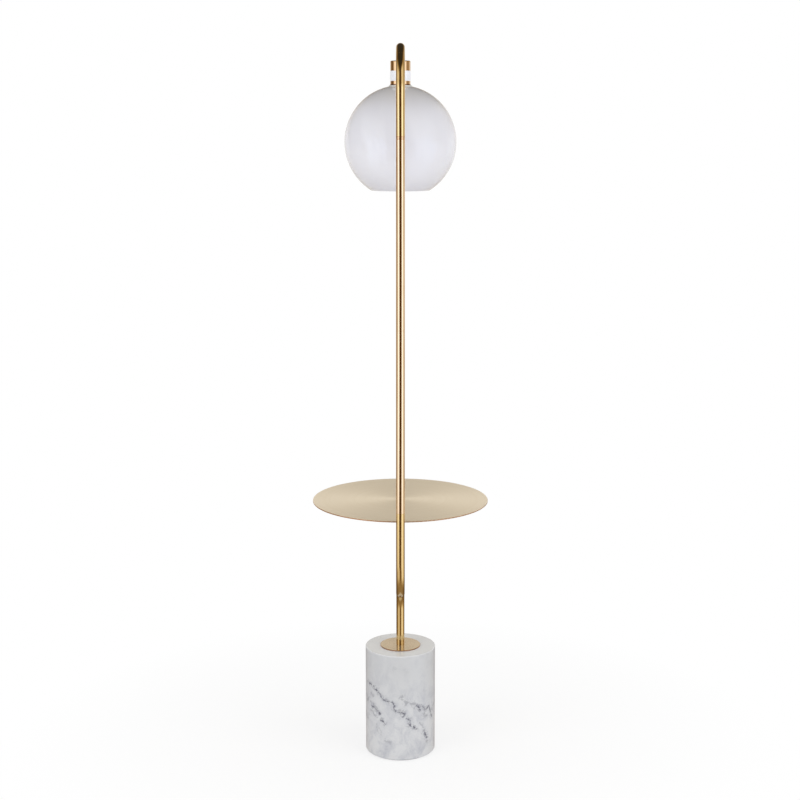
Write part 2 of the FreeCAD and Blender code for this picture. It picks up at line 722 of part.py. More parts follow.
MOUTH_INNER = "mouth_diameter / 2 * glass_inner_radius / globe_radius"
turned("glass_globe", [
    (MOUTH_INNER, on_globe("glass_inner_radius", MOUTH_INNER, "-"), "left glass_wall * 0.6"),
    ("mouth_diameter / 2", on_globe("globe_radius", "mouth_diameter / 2", "-"), "left globe_radius"),
    ("globe_radius", "globe_centre", "left globe_radius"),
    ("neck_radius", on_globe("globe_radius", "neck_radius")),
    ("neck_radius", on_globe("glass_inner_radius", "neck_radius"), "right glass_inner_radius"),
    ("glass_inner_radius", "globe_centre", "right glass_inner_radius"),
])

UPPER_SEAT = "globe_radius + seal_gap"
turned("upper_gasket", [
    ("gasket_bore_radius", on_globe(UPPER_SEAT, "gasket_bore_radius"), "right " + UPPER_SEAT),
    ("gasket_radius", on_globe(UPPER_SEAT, "gasket_radius")),
    ("gasket_radius", "cup_mouth"),
    ("gasket_bore_radius", "cup_mouth"),
])

LOWER_SEAT = "glass_inner_radius - seal_gap"
turned("lower_gasket", [
    ("gasket_bore_radius", "ring_top"),
    ("gasket_radius", "ring_top"),
    ("gasket_radius", on_globe(LOWER_SEAT, "gasket_radius"), "left " + LOWER_SEAT),
    ("gasket_bore_radius", on_globe(LOWER_SEAT, "gasket_bore_radius")),
])

ring = turned("clamp_ring", [
    ("holder_radius + fit_gap", "ring_top - ring_flange - ring_skirt"),
    ("ring_skirt_radius", "ring_top - ring_flange - ring_skirt"),
    ("ring_skirt_radius", "ring_top - ring_flange"),
    ("gasket_radius + ring_margin", "ring_top - ring_flange"),
    ("gasket_radius + ring_margin", "ring_top"),
    ("holder_radius + fit_gap", "ring_top"),
])
grip = sketch_on(ring, "XY_Plane", "grip", "ring_top - ring_flange")
circle_in(grip, "grip_diameter / 2", up="ring_skirt_radius + grip_diameter / 2 - grip_depth")
pattern(ring, pocket(ring, grip, "first_grip"), "grips", "ring_grips")

# ---------------------------------------------------------------------------------------------
# The lampholder
# ---------------------------------------------------------------------------------------------

turned("holder_cap", [
    ("holder_radius - holder_wall", "holder_cap_under"),
    ("holder_radius", "holder_cap_under"),
    ("holder_radius", "locknut_under - entry_height - holder_shoulder"),
    ("entry_diameter / 2", "locknut_under - entry_height"),
    ("entry_diameter / 2", "locknut_under"),
    ("thread_radius", "locknut_under"),
    ("thread_radius", "locknut_under - entry_height - holder_wall"),
    ("holder_radius - holder_wall", "locknut_under - entry_height - holder_shoulder - holder_wall"),
])

CHAMBER_FLOOR = "holder_under + shell_depth + holder_floor"
turned("holder_body", [
    ("shell_outer_radius + fit_gap", "holder_under"),
    ("holder_radius", "holder_under"),
    ("holder_radius", "holder_cap_under"),
    ("holder_radius - holder_wall", "holder_cap_under"),
    ("holder_radius - holder_wall", CHAMBER_FLOOR),
    ("0", CHAMBER_FLOOR),
    ("0", "holder_under + shell_depth"),
    ("shell_outer_radius + fit_gap", "holder_under + shell_depth"),
])

turned("screw_shell", [
    ("shell_radius", "holder_under + shell_inset"),
    ("shell_outer_radius", "holder_under + shell_inset"),
    ("shell_outer_radius", "holder_under + shell_depth"),
    ("shell_radius - shell_flange", "holder_under + shell_depth"),
    ("shell_radius - shell_flange", "holder_under + shell_depth - shell_wall"),
    ("shell_radius", "holder_under + shell_depth - shell_wall"),
])

contact = DOC.addObject("Part::Cylinder", "contact_disc")
bind(contact, Radius="bulb_tip_diameter / 2", Height="contact_height")
place(contact, up="contact_under")
keep(contact, "centre_contact")

terminals = []
for side in (-1, 1):
    head = DOC.addObject("Part::Cylinder", "terminal")
    bind(head, Radius="terminal_diameter / 2", Height="terminal_height")
    place(head, up=CHAMBER_FLOOR)
    head.setExpression("Placement.Base.x", sized(f"{side} * terminal_spread / 2"))
    terminals.append(head)
screws = DOC.addObject("Part::Compound", "terminal_screws")
screws.Links = terminals
keep(screws, "terminal_screws")

# ---------------------------------------------------------------------------------------------
# The bulb, which unscrews downwards
# ---------------------------------------------------------------------------------------------

turned("bulb_tip_insulator", [
    ("0", "bulb_tip - bulb_tip_height"),
    ("bulb_cap_diameter / 2 - bulb_cap_bevel", "bulb_tip - bulb_tip_height"),
    ("bulb_tip_diameter / 2", "bulb_tip"),
    ("0", "bulb_tip"),
])

turned("bulb_cap", [
    ("0", "bulb_cap_under"),
    ("bulb_cap_diameter / 2", "bulb_cap_under"),
    ("bulb_cap_diameter / 2", "bulb_tip - bulb_tip_height - bulb_cap_bevel"),
    ("bulb_cap_diameter / 2 - bulb_cap_bevel", "bulb_tip - bulb_tip_height"),
    ("0", "bulb_tip - bulb_tip_height"),
])

DOME_EDGE = "sqrt(bulb_radius ^ 2 - bulb_split ^ 2)"
turned("bulb_body", [
    ("0", "bulb_centre + bulb_split"),
    (DOME_EDGE, "bulb_centre + bulb_split", "right bulb_neck_curve"),
    ("bulb_cap_diameter / 2", "bulb_cap_under"),
    ("0", "bulb_cap_under"),
])

turned("bulb_dome", [
    ("0", "bulb_centre - bulb_radius", "left bulb_radius"),
    ("bulb_radius", "bulb_centre", "left bulb_radius"),
    (DOME_EDGE, "bulb_centre + bulb_split"),
    (DOME_EDGE + " - bulb_dome_wall", "bulb_centre + bulb_split"),
    ("bulb_radius - bulb_dome_wall", "bulb_centre", "right bulb_radius - bulb_dome_wall"),
    ("0", "bulb_centre - bulb_radius + bulb_dome_wall"),
])

# ---------------------------------------------------------------------------------------------
# Check every piece and write it
# ---------------------------------------------------------------------------------------------

DOC.recompute()
for item in DOC.Objects:
    if "Invalid" in item.State or "Error" in item.State:
        raise RuntimeError(f"{item.Name} failed: {item.State}")
os.makedirs("parts", exist_ok=True)
for node in NODES:
    if node.Shape.isNull() or not node.Shape.isValid():
        raise RuntimeError(f"{node.Label} has no valid shape")
    node.Shape.exportStep(f"parts/{node.Label}.step")
    print(f"{node.Label:24s} {len(node.Shape.Solids)} solid(s) {node.Shape.Volume / 1000:10.2f} cm3")
print(len(NODES), "nodes")
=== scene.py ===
# %% [markdown]
# # A floor lamp that carries a round table
#
# The real lamp is a brass-plated tube on a marble drum. The tube steps forward in an S bend,
# passes in front of a round metal table and hooks back at the top, where an open globe of opal
# glass hangs over the foot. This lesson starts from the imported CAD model, which already has every
# part at its real size. What is left for Blender is what a camera sees: finishes, fine threads,
# light, and the view that the photograph was taken from.

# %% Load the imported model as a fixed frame
import math

import bmesh
import bpy
import numpy as np
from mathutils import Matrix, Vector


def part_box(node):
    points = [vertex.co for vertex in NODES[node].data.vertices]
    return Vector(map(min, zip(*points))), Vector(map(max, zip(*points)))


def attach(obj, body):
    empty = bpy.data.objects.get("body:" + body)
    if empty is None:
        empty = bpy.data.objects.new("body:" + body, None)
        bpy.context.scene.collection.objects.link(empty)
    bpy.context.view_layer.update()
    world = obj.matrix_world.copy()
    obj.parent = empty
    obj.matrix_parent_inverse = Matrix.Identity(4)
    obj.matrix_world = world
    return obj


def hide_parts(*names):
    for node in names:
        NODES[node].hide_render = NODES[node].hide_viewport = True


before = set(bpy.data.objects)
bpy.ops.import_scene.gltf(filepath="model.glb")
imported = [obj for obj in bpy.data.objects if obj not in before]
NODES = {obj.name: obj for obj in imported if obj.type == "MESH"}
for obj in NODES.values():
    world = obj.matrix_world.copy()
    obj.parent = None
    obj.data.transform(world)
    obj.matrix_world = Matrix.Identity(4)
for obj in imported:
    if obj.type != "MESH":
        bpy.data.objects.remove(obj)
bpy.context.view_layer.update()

# %% [markdown]
# ## Places that the frame gives
#
# Nothing here is measured twice. A size that a later cell needs is read from the box of a CAD
# node wherever a box can tell it, so a change of the CAD model moves the finishes and the new
# pieces with it.

# %% Read the main places
MM = 0.001
FOOT_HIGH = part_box("marble_base")[1]
FOOT_RADIUS = FOOT_HIGH.x
TABLE_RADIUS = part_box("table_top")[1].x
PLATE_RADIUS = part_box("base_plate")[1].x
POLE_LOW, POLE_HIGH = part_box("upper_pole")
POLE_FORWARD = -(POLE_LOW.y + POLE_HIGH.y) / 2
GLOBE_LOW, GLOBE_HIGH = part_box("glass_globe")
print("table", round(2 * TABLE_RADIUS, 3), "m across, pole", round(POLE_FORWARD, 4), "m forward")

# %% [markdown]
# ## Camera
#
# A product photographer stands well back with a long lens, so that upright lines stay upright.
# The focal length, distance, height and tilt below were found by matching the outlines of foot,
# table and globe in the picture. The small shift keeps the whole lamp in the frame. The Standard
# view shows white as plain white, which a cut-out on white needs.

# %% Stand the camera where the photographer stood
PICTURE_PIXELS = 800
SENSOR_MM = 36.0
FOCAL_PIXELS = 1470.0
CAMERA_BACK = 3.326
CAMERA_HEIGHT = 1.449
CAMERA_SIDE = -0.9 * MM
CAMERA_TILT_DOWN = math.radians(9.68)
SHIFT_PIXELS = 16

camera_data = bpy.data.cameras.new("camera")
camera = bpy.data.objects.new("camera", camera_data)
bpy.context.scene.collection.objects.link(camera)
camera_data.sensor_width = SENSOR_MM
camera_data.lens = FOCAL_PIXELS / PICTURE_PIXELS * SENSOR_MM
camera_data.shift_y = -SHIFT_PIXELS / PICTURE_PIXELS
camera_data.clip_end = 60.0
camera.location = (CAMERA_SIDE, -CAMERA_BACK, CAMERA_HEIGHT)
camera.rotation_euler = (math.pi / 2 - CAMERA_TILT_DOWN, 0.0, 0.0)
bpy.context.scene.camera = camera
bpy.context.scene.view_settings.view_transform = "Standard"
print("lens", round(camera_data.lens, 1), "mm")

# %% [markdown]
# ## Surfaces from two parameters
#
# Every new mesh in this lesson is a grid of points, computed as whole numpy arrays: one parameter
# runs along the rows, the other along the columns. The helper below only joins the grid's points
# into four-cornered faces, and can close the grid on itself in either direction.


# %% Turn a grid of points into a mesh object
def grid_object(name, points, round_rows=False, round_columns=False, smooth=True):
    """An object from an array of shape (rows, columns, 3).

    Each point is joined to its right and its upper neighbour. round_rows joins the last row to
    the first, and round_columns the last column to the first.
    """
    rows, columns = points.shape[:2]
    index = np.arange(rows * columns).reshape(rows, columns)
    if round_rows:
        index = np.vstack([index, index[:1]])
    if round_columns:
        index = np.hstack([index, index[:, :1]])
    corners = np.stack([index[:-1, :-1], index[:-1, 1:], index[1:, 1:], index[1:, :-1]], -1)
    mesh = bpy.data.meshes.new(name)
    mesh.from_pydata(points.reshape(-1, 3), [], corners.reshape(-1, 4).tolist())
    mesh.polygons.foreach_set("use_smooth", np.full(len(mesh.polygons), smooth))
    made = bpy.data.objects.new(name, mesh)
    bpy.context.scene.collection.objects.link(made)
    return made


def weld(piece):
    """Joins points that lie on one another and turns every face outwards, for a closed mesh."""
    welded = bmesh.new()
    welded.from_mesh(piece.data)
    bmesh.ops.remove_doubles(welded, verts=welded.verts, dist=1e-7)
    bmesh.ops.recalc_face_normals(welded, faces=welded.faces)
    welded.to_mesh(piece.data)
    welded.free()


print("grid helper ready")

# %% [markdown]
# ## Node helpers
#
# A finish is a small network of shader nodes. These helpers keep each recipe short: one adds a
# node and fills its sockets, one reads the place on the object, one makes noise and one turns a
# number into a colour.


# %% Helpers for shader nodes
def add(material, kind, inputs=None, **settings):
    """A new node in the material's tree. inputs maps a socket to a value or to another output."""
    tree = material.node_tree
    node = tree.nodes.new(kind)
    for name, value in settings.items():
        setattr(node, name, value)
    for socket, value in (inputs or {}).items():
        if isinstance(value, bpy.types.NodeSocket):
            tree.links.new(value, node.inputs[socket])
        else:
            node.inputs[socket].default_value = value
    return node


def new_finish(name, sockets):
    """A material with one Principled shader, and that shader with the given sockets set."""
    material = bpy.data.materials.new(name + "_finish")
    material.use_nodes = True
    shader = material.node_tree.nodes["Principled BSDF"]
    for socket, value in sockets.items():
        shader.inputs[socket].default_value = value
    return material, shader


def wire(material, output, shader, socket):
    """Lets an output drive a socket of the shader."""
    material.node_tree.links.new(output, shader.inputs[socket])


def place_on(material, stretch=(1.0, 1.0, 1.0), turn=(0.0, 0.0, 0.0)):
    """Object coordinates in metres, stretched and turned. The pattern stays fixed to the piece."""
    where = add(material, "ShaderNodeTexCoord").outputs["Object"]
    return add(material, "ShaderNodeMapping",
               {"Vector": where, "Scale": stretch, "Rotation": turn}).outputs["Vector"]


def noise(material, vector, scale, detail=3.0, roughness=0.5, distortion=0.0):
    """Noise from 0 to 1 at so many lumps per metre of the vector."""
    return add(material, "ShaderNodeTexNoise",
               {"Vector": vector, "Scale": scale, "Detail": detail, "Roughness": roughness,
                "Distortion": distortion}).outputs["Fac"]


def remap(material, value, low, high, to_low=0.0, to_high=1.0, kind="LINEAR"):
    """The value, with low..high stretched to to_low..to_high and held at both ends."""
    return add(material, "ShaderNodeMapRange",
               {"Value": value, "From Min": low, "From Max": high,
                "To Min": to_low, "To Max": to_high}, interpolation_type=kind).outputs["Result"]


def math_of(material, operation, first, second=0.0):
    """One sum, product or comparison of two numbers or outputs."""
    return add(material, "ShaderNodeMath", {0: first, 1: second}, operation=operation).outputs[0]


def tint(material, share, first, second):
    """A colour between two: the first where the share is 0, the second where it is 1."""
    mix = add(material, "ShaderNodeMix", data_type="RGBA")
    for socket, value in ((0, share), (6, first), (7, second)):
        if isinstance(value, bpy.types.NodeSocket):
            material.node_tree.links.new(value, mix.inputs[socket])
        else:
            mix.inputs[socket].default_value = value
    return mix.outputs[2]


def relief(material, shader, height, depth, strength=1.0):
    """Bump from a height between 0 and 1, which stands for so many metres."""
    bump = add(material, "ShaderNodeBump",
               {"Height": height, "Distance": depth, "Strength": strength})
    wire(material, bump.outputs["Normal"], shader, "Normal")


def colour(red, green, blue):
    """A colour written as a paint program shows it, 0 to 255, made linear for the shader."""
    share = np.array([red, green, blue]) / 255.0
    linear = np.where(share <= 0.04045, share / 12.92, ((share + 0.055) / 1.055) ** 2.4)
    return (*[float(channel) for channel in linear], 1.0)


def cover(material, *names):
    """Puts the finish on the named CAD nodes."""
    for name in names:
        slots = NODES[name].data.materials
        if not slots:
            slots.append(material)
        for slot in range(len(slots)):
            slots[slot] = material
    print(material.name, "on", ", ".join(names))


# %% [markdown]
# ## Floor and background
#
# The photograph is cut out on pure white. A floor that only glows would lose the shadow that
# makes the drum stand, so what the camera sees is a mix of a glow and a matte surface that takes
# shadow. The matte share fades to nothing away from the foot, so no edge of the floor shows. For
# light that bounces off it the floor is nearly white, as a paper floor in a studio is.

# %% Lay the floor
FLOOR_REACH = 14.0
FLOOR_MATTE = 0.30
FLOOR_FADE_FROM, FLOOR_FADE_TO = 0.15, 0.95
FLOOR_BOUNCE = 0.95
# the floor lies a hair under the foot, so that foam and floor don't share one plane
FLOOR_DROP = 0.2 * MM
GLOW_WHITE = (1.0, 1.0, 1.0, 1.0)

floor_line = np.linspace(-FLOOR_REACH, FLOOR_REACH, 3)
floor_x, floor_y = np.meshgrid(floor_line, floor_line)
floor = grid_object(
    "floor", np.stack([floor_x, floor_y, np.full_like(floor_x, -FLOOR_DROP)], -1))


def seen_directly(material):
    """1 for what camera, mirror reflections and glass see, 0 for what only sheds light."""
    path = add(material, "ShaderNodeLightPath").outputs
    seen = math_of(material, "MAXIMUM", path["Is Camera Ray"], path["Is Glossy Ray"])
    return math_of(material, "MAXIMUM", seen, path["Is Transmission Ray"])


floor_paint, floor_matte = new_finish("floor_white", {"Roughness": 0.9, "Specular IOR Level": 0.0})
floor_seen = seen_directly(floor_paint)
wire(floor_paint, tint(floor_paint, floor_seen, (*[FLOOR_BOUNCE] * 3, 1.0), GLOW_WHITE),
     floor_matte, "Base Color")
from_foot = add(floor_paint, "ShaderNodeVectorMath", {0: place_on(floor_paint)},
                operation="LENGTH").outputs["Value"]
glow_share = remap(floor_paint, from_foot, FLOOR_FADE_FROM, FLOOR_FADE_TO, 1.0 - FLOOR_MATTE, 1.0)
floor_glow = add(floor_paint, "ShaderNodeEmission", {"Color": GLOW_WHITE, "Strength": 1.0})
floor_mix = add(floor_paint, "ShaderNodeMixShader", {
    "Fac": math_of(floor_paint, "MULTIPLY", glow_share, floor_seen),
    1: floor_matte.outputs[0], 2: floor_glow.outputs[0]})
# from below the floor is not there, so that the underside of the lamp can be looked at
from_below = add(floor_paint, "ShaderNodeNewGeometry").outputs["Backfacing"]
floor_shown = add(floor_paint, "ShaderNodeMixShader", {
    "Fac": from_below, 1: floor_mix.outputs[0],
    2: add(floor_paint, "ShaderNodeBsdfTransparent").outputs[0]})
floor_paint.node_tree.links.new(
    floor_shown.outputs[0], floor_paint.node_tree.nodes["Material Output"].inputs["Surface"])
floor.data.materials.append(floor_paint)
print("floor", 2 * FLOOR_REACH, "m wide")

# %% [markdown]
# The world is what lies behind everything. Seen directly it is white. As light it is a room with
# bright walls and a dim ceiling, which together with the painted shade towards the globe's neck
# makes the top of the globe greyer than its middle.

# %% Light the room
WALL_LIGHT, CEILING_LIGHT = 0.96, 0.31
# the light falls from one to the other between these rises, in degrees
WALL_TOP, CEILING_EDGE = (math.sin(math.radians(rise)) for rise in (38, 62))

world = bpy.data.worlds.new("pale_room")
bpy.context.scene.world = world
world.use_nodes = True
world.cycles.sampling_method = "NONE"
sky = world.node_tree.nodes["Background"]
upward = add(world, "ShaderNodeSeparateXYZ",
             {0: add(world, "ShaderNodeTexCoord").outputs["Generated"]}).outputs["Z"]
room_light = remap(world, upward, WALL_TOP, CEILING_EDGE, WALL_LIGHT, CEILING_LIGHT)
room_grey = add(world, "ShaderNodeCombineColor",
                {"Red": room_light, "Green": room_light, "Blue": room_light}).outputs["Color"]
world.node_tree.links.new(tint(world, seen_directly(world), room_grey, GLOW_WHITE),
                          sky.inputs["Color"])
print("room light", WALL_LIGHT, "at the walls,", CEILING_LIGHT, "overhead")

# %% [markdown]
# ## Soft boxes and the studio in the mirror
#
# Polished tube shows the room it stands in. In the photograph the tube has a thin dark line down
# its middle, a pale stripe on each side and duller edges, and its top bend is nearly black. That
# reads as two wide soft boxes to left and right of the camera, darkness between them and overhead,
# and grey walls and floor elsewhere. The light itself comes from two area lamps. What the brass
# mirrors is a shell round the studio that only mirror reflections see: it takes no light from the
# scene and throws no shadow. Its level is worked out point by point and stored in the mesh as a
# colour, which the material glows with.

# %% Stand the soft boxes
BOX_AWAY = 1.9
BOX_HEIGHT, BOX_CENTRE_HEIGHT = 2.2, 1.2
BOX_RADIANCE = 1.5
# the turn of each lamp's inner and outer edge from straight ahead, in degrees
LAMP_EDGES = {"left": (-28, -67), "right": (34, 77)}

for label, edges in LAMP_EDGES.items():
    turn = math.radians(sum(edges) / 2)
    width = 2 * BOX_AWAY * math.tan(math.radians(abs(edges[1] - edges[0]) / 2))
    lamp_data = bpy.data.lights.new("soft_box_" + label, "AREA")
    lamp_data.shape = "RECTANGLE"
    lamp_data.size, lamp_data.size_y = width, BOX_HEIGHT
    lamp_data.energy = BOX_RADIANCE * math.pi * width * BOX_HEIGHT
    soft_box = bpy.data.objects.new("soft_box_" + label, lamp_data)
    bpy.context.scene.collection.objects.link(soft_box)
    soft_box.location = (BOX_AWAY * math.sin(turn), -BOX_AWAY * math.cos(turn), BOX_CENTRE_HEIGHT)
    soft_box.rotation_euler = (math.pi / 2, 0.0, turn)
    soft_box.visible_camera = False
    soft_box.visible_glossy = False
    print(label, "soft box", round(width, 2), "m wide,", round(lamp_data.energy, 1), "W")

# %% [markdown]
# The shell is a dome with a floor. Its level is a function of the turn round the lamp and of the
# rise on the dome or the distance on the floor. On each side the turn passes, from the front: the
# dark behind the camera, the box, a dim gap and the back wall. The boxes do not stand quite
# upright, so their edges move a little with height. A dim room is also a warm one: the level is
# raised to a slightly higher power in green and a higher one in blue. Only the black ceiling is
# a plain dark grey.

# %% Say where the zones of the studio lie and how bright they are
SHELL_AWAY = 4.6
SHELL_LIFT = 1.5 * MM
SHELL_FLOOR_FROM = 0.084
# the powers of red, green and blue, and the tint that takes over as the level falls to the second
# of the two given
WARMTH = np.array([1.0, 1.25, 1.7])
DIM_FROM, DIM_TO, DIM_TINT = 0.085, 0.05, np.array([0.95, 0.85, 0.72])
FRONT_LEVEL, CEILING_LEVEL = 0.095, 0.045
# each pair of rises, in degrees, is where a level starts and ends its change upwards
BOX_LEVEL, BOX_TOP_LEVEL, BOX_TOP_RISES = 1.45, 0.92, (21, 31)
HORIZON_LEVEL, BACK_LEVEL, BACK_RISES = 0.55, 0.84, (0, 12)
BACK_TOP_LEVEL, BACK_TOP_RISES = 0.50, (22, 34)
# the rises between which the ceiling comes in at two turns, over the side and over the back
SIDE_TURN, SIDE_CEILING = 128, (50, 64)
BACK_TURN, BACK_CEILING = 165, (26, 44)
# over the box its own rises hold until this many degrees past the box's outer edge
PAST_BOX = 10
# how far the step at a box's inner edge and at the other edges reaches to each side, in degrees
SHARP_EDGE, SOFT_EDGE = 2, 8
# for each side, at six rises on the dome: the turn of the box's inner and of its outer edge, the
# gap's level and the turn where the back wall begins; then the rises between which the ceiling
# comes in over the box; all angles in degrees
RISES = (1, 10, 16, 21, 32, 50)
DOME = {
    "left": {"inner": (25, 25, 29, 33, 33, 33), "outer": (73, 72, 74, 79, 92, 101),
             "gap": (0.40, 0.38, 0.28, 0.20, 0.24, 0.26),
             "wall": (130, 130, 130, 132, 140, 150), "ceiling": (44, 64)},
    "right": {"inner": (30, 32, 29, 24, 24, 24), "outer": (80, 80, 76, 70, 76, 84),
              "gap": (0.60, 0.60, 0.46, 0.40, 0.46, 0.42),
              "wall": (112, 112, 112, 114, 130, 150), "ceiling": (53, 67)}}
# the same at four distances on the floor in metres, with the levels of box, front and back there
DISTANCES = (1.06, 2.0, 2.7, 4.6)
FLOOR_FRONT = (0.20, 0.145, 0.085, 0.095)
FLOOR_BACK = (0.17, 0.36, 0.48, 0.55)
FLOOR = {
    "left": {"inner": (16, 30, 30, 25), "outer": (75, 84, 80, 78),
             "gap": (0.20, 0.30, 0.30, 0.40), "wall": (130, 130, 130, 130),
             "box": (0.80, 1.0, 1.3, 1.45)},
    "right": {"inner": (26, 20, 28, 30), "outer": (82, 80, 80, 80),
              "gap": (0.40, 0.42, 0.50, 0.60), "wall": (115, 115, 115, 115),
              "box": (1.05, 1.1, 1.35, 1.45)}}
# one dim level near the foot, which gives way to the zones between these distances
NEAR_FLOOR_LEVEL, NEAR_FLOOR_REACH = 0.33, (0.32, 0.76)
# behind the foot it is darker still, from these distances and these turns on
NEAR_BACK_LEVEL, NEAR_BACK_REACH, NEAR_BACK_TURNS = 0.18, (0.20, 0.34), (70, 100)
print("levels from", CEILING_LEVEL, "on the ceiling to", BOX_LEVEL, "in the boxes")


# %% Helpers for the shell
def ease(low, high, value):
    """A soft step from 0 at low to 1 at high."""
    share = np.clip((value - low) / (high - low), 0.0, 1.0)
    return share * share * (3 - 2 * share)


def shell_piece(name, points, level):
    """A piece of the studio that only mirror reflections see, glowing with a level per point."""
    piece = grid_object(name, points)
    red_green_blue = level[..., None] ** WARMTH
    dim = ease(DIM_FROM, DIM_TO, level)[..., None]
    red_green_blue += dim * (level[..., None] * DIM_TINT - red_green_blue)
    glow = np.append(red_green_blue, np.ones((*level.shape, 1)), 2)
    attribute = piece.data.color_attributes.new("glow", "FLOAT_COLOR", "POINT")
    attribute.data.foreach_set("color", glow.ravel())
    for kind in ("camera", "diffuse", "transmission", "volume_scatter", "shadow"):
        setattr(piece, "visible_" + kind, False)
    piece.data.materials.append(shell_paint)
    return piece


shell_paint, shell_matte = new_finish("studio_shell", {
    "Base Color": (0.0, 0.0, 0.0, 1.0), "Roughness": 1.0, "Specular IOR Level": 0.0,
    "Emission Strength": 1.0})
wire(shell_paint, add(shell_paint, "ShaderNodeAttribute", attribute_name="glow").outputs["Color"],
     shell_matte, "Emission Color")
shell_paint.cycles.emission_sampling = "NONE"


def round_level(turn, side, places, place, front, box, back):
    """The level on one side of the studio, from the front round to the back wall.

    turn is the angle from straight ahead in degrees, positive on both sides. The level steps
    softly from front to box at the inner edge, on to the gap at the outer edge and then to back.
    The edges and the gap's level are read off between the given places.
    """
    inner, outer, gap, wall = (
        np.interp(place, places, side[row]) for row in ("inner", "outer", "gap", "wall"))
    level = front + ease(inner - SHARP_EDGE, inner + SHARP_EDGE, turn) * (box - front)
    level += ease(outer - SOFT_EDGE, outer + SOFT_EDGE, turn) * (gap - level)
    return level + ease(wall - SOFT_EDGE, wall + SOFT_EDGE, turn) * (back - level)


print("shell helpers ready")

# %% Raise the walls and the ceiling
# turn is the angle from straight ahead and rise the angle up, both in steps of one degree
TURNS, DOME_RISES = np.linspace(-180, 180, 361), np.linspace(-2, 90, 93)

turn, rise = np.meshgrid(TURNS, DOME_RISES)
box = BOX_LEVEL + ease(*BOX_TOP_RISES, rise) * (BOX_TOP_LEVEL - BOX_LEVEL)
back = HORIZON_LEVEL + ease(*BACK_RISES, rise) * (BACK_LEVEL - HORIZON_LEVEL)
back += ease(*BACK_TOP_RISES, rise) * (BACK_TOP_LEVEL - back)
dome_level = np.zeros_like(turn)
for label, here in (("left", turn <= 0), ("right", turn > 0)):
    side = DOME[label]
    level = round_level(abs(turn), side, RISES, rise, FRONT_LEVEL, box, back)
    ceiling_from, ceiling_to = (
        np.interp(abs(turn), (side["outer"][-1] + PAST_BOX, SIDE_TURN, BACK_TURN), reaches)
        for reaches in zip(side["ceiling"], SIDE_CEILING, BACK_CEILING))
    level += ease(ceiling_from, ceiling_to, rise) * (CEILING_LEVEL - level)
    dome_level = np.where(here, level, dome_level)
turn, rise = np.radians(turn), np.radians(rise)
shell_piece("studio_walls", SHELL_AWAY * np.stack(
    [np.sin(turn) * np.cos(rise), -np.cos(turn) * np.cos(rise), np.sin(rise)], -1), dome_level)
print("studio dome of", round(2 * SHELL_AWAY, 1), "m")

# %% Lay the floor of the shell
# the same zones, dimmer towards the foot, and one dim level right by it
SHELL_FLOOR_ROWS = 70

turn, away = np.meshgrid(TURNS, np.geomspace(SHELL_FLOOR_FROM, SHELL_AWAY, SHELL_FLOOR_ROWS))
floor_level = np.zeros_like(turn)
for label, here in (("left", turn <= 0), ("right", turn > 0)):
    side = FLOOR[label]
    front, box, back = (np.interp(away, DISTANCES, row)
                        for row in (FLOOR_FRONT, side["box"], FLOOR_BACK))
    level = round_level(abs(turn), side, DISTANCES, away, front, box, back)
    floor_level = np.where(here, level, floor_level)
behind = ease(*NEAR_BACK_REACH, away) * ease(*NEAR_BACK_TURNS, abs(turn))
near_level = NEAR_FLOOR_LEVEL + behind * (NEAR_BACK_LEVEL - NEAR_FLOOR_LEVEL)
floor_level = near_level + ease(*NEAR_FLOOR_REACH, away) * (floor_level - near_level)
turn = np.radians(turn)
shell_piece("studio_floor", np.stack(
    [away * np.sin(turn), -away * np.cos(turn), np.full_like(away, SHELL_LIFT)], -1), floor_level)
print("studio floor from", SHELL_FLOOR_FROM, "m out")

# %% [markdown]
# ## Plated brass
#
# The tube is steel with a thin brass plating, brushed lengthwise and lacquered. The two straight
# pole lengths are a paler, rosier batch than the bent ends, which the photograph shows clearly on
# both sides of each joint. One recipe serves all of them: the tint changes slowly from place to
# place, as lacquer does, and fine streaks run along the tube in colour, gloss and relief.


# %% The recipe for plated brass
STREAKS_PER_METRE = 900.0
# the pattern is squeezed to this share along Z, which draws it out into streaks
STREAK_SQUEEZE = 0.02
CLOUDS_PER_METRE = 14.0
CLOUD_SHARE, STREAK_SHARE = 0.8, 0.2


def plated_brass(name, pale, deep, gloss):
    """Brass between two tints, with gloss as its mean roughness and streaks along Z."""
    material, shader = new_finish(name, {
        "Metallic": 1.0, "Coat Weight": 0.6, "Coat Roughness": 0.12, "Coat IOR": 1.5})
    clouds = noise(material, place_on(material), CLOUDS_PER_METRE, 3.0, 0.5)
    streaks = noise(material, place_on(material, (1.0, 1.0, STREAK_SQUEEZE)),
                    STREAKS_PER_METRE, 2.0, 0.6)
    share = math_of(material, "ADD", math_of(material, "MULTIPLY", clouds, CLOUD_SHARE),
                    math_of(material, "MULTIPLY", streaks, STREAK_SHARE))
    wire(material, tint(material, remap(material, share, 0.36, 0.64), pale, deep),
         shader, "Base Color")
    wire(material, remap(material, streaks, 0.3, 0.7, gloss - 0.015, gloss + 0.02),
         shader, "Roughness")
    relief(material, shader, streaks, 0.002 * MM, 0.3)
    return material


pole_brass = plated_brass("pole_brass", colour(238, 205, 164), colour(232, 197, 154), 0.12)
bend_brass = plated_brass("bend_brass", colour(233, 200, 138), colour(226, 192, 128), 0.13)
collar_brass = plated_brass("collar_brass", colour(226, 186, 138), colour(210, 166, 118), 0.14)
cup_brass = plated_brass("cup_brass", colour(232, 194, 148), colour(220, 178, 130), 0.12)
hidden_brass = plated_brass("hidden_brass", colour(214, 180, 112), colour(196, 160, 96), 0.24)
cover(pole_brass, "lower_pole", "upper_pole")
cover(bend_brass, "lower_tube", "top_arm", "arm_end_cap", "arm_boss")
cover(collar_brass, "collar_ring")
cover(cup_brass, "socket_cup")
cover(hidden_brass, "table_bar", "table_flange", "stem_plug")
